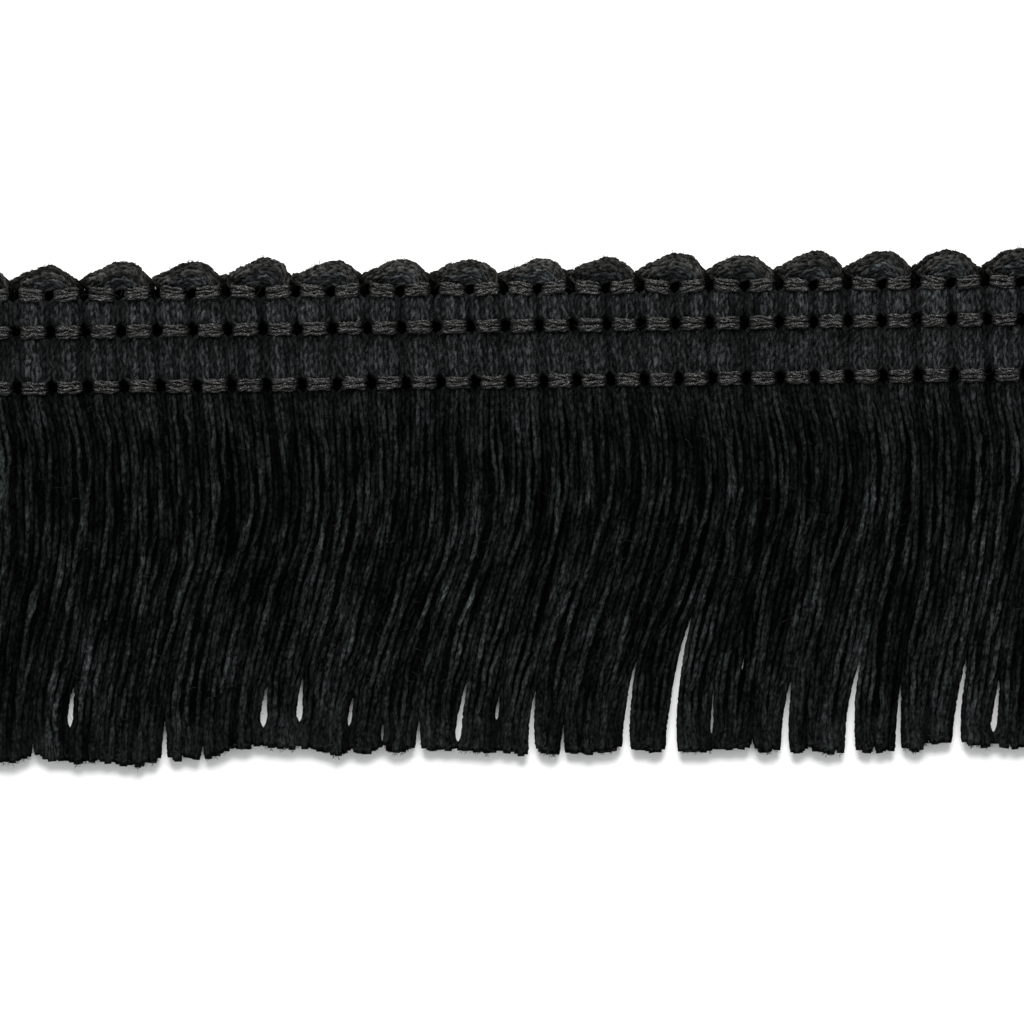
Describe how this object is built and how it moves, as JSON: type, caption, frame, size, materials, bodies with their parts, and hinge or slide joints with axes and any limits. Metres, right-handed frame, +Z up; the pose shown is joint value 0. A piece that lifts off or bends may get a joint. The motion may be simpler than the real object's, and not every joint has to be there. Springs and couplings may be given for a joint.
{
  "type": "brush fringe trim",
  "caption": "Cut length of brush fringe: plied cotton yarns looped into a scalloped heading, bound by chain stitch and hanging as cut strands.",
  "frame": {"origin": "on the surface that the trim lies on, under the middle of its bounding box", "axes": "+X along the trim, +Y across it towards the scalloped heading edge, +Z up out of the surface"},
  "size_m": [0.1125, 0.0504, 0.0022],
  "materials": {
    "cotton_yarn": "black plied cotton yarn, matt with a faint cool sheen",
    "filament_thread": "black twisted filament thread, warmer and shinier than the yarn"
  },
  "bodies": {
    "root": {"yarn_hairpin_01": "cotton_yarn", "yarn_hairpin_02": "cotton_yarn", "yarn_hairpin_03": "cotton_yarn", "yarn_hairpin_04": "cotton_yarn", "yarn_hairpin_05": "cotton_yarn", "yarn_hairpin_06": "cotton_yarn", "yarn_hairpin_07": "cotton_yarn", "yarn_hairpin_08": "cotton_yarn", "yarn_hairpin_09": "cotton_yarn", "yarn_hairpin_10": "cotton_yarn", "yarn_hairpin_11": "cotton_yarn", "yarn_hairpin_12": "cotton_yarn", "yarn_hairpin_13": "cotton_yarn", "yarn_hairpin_14": "cotton_yarn", "yarn_hairpin_15": "cotton_yarn", "yarn_hairpin_16": "cotton_yarn", "chain_lower": "filament_thread", "chain_middle": "filament_thread", "chain_upper": "filament_thread"}
  },
  "joints": []
}
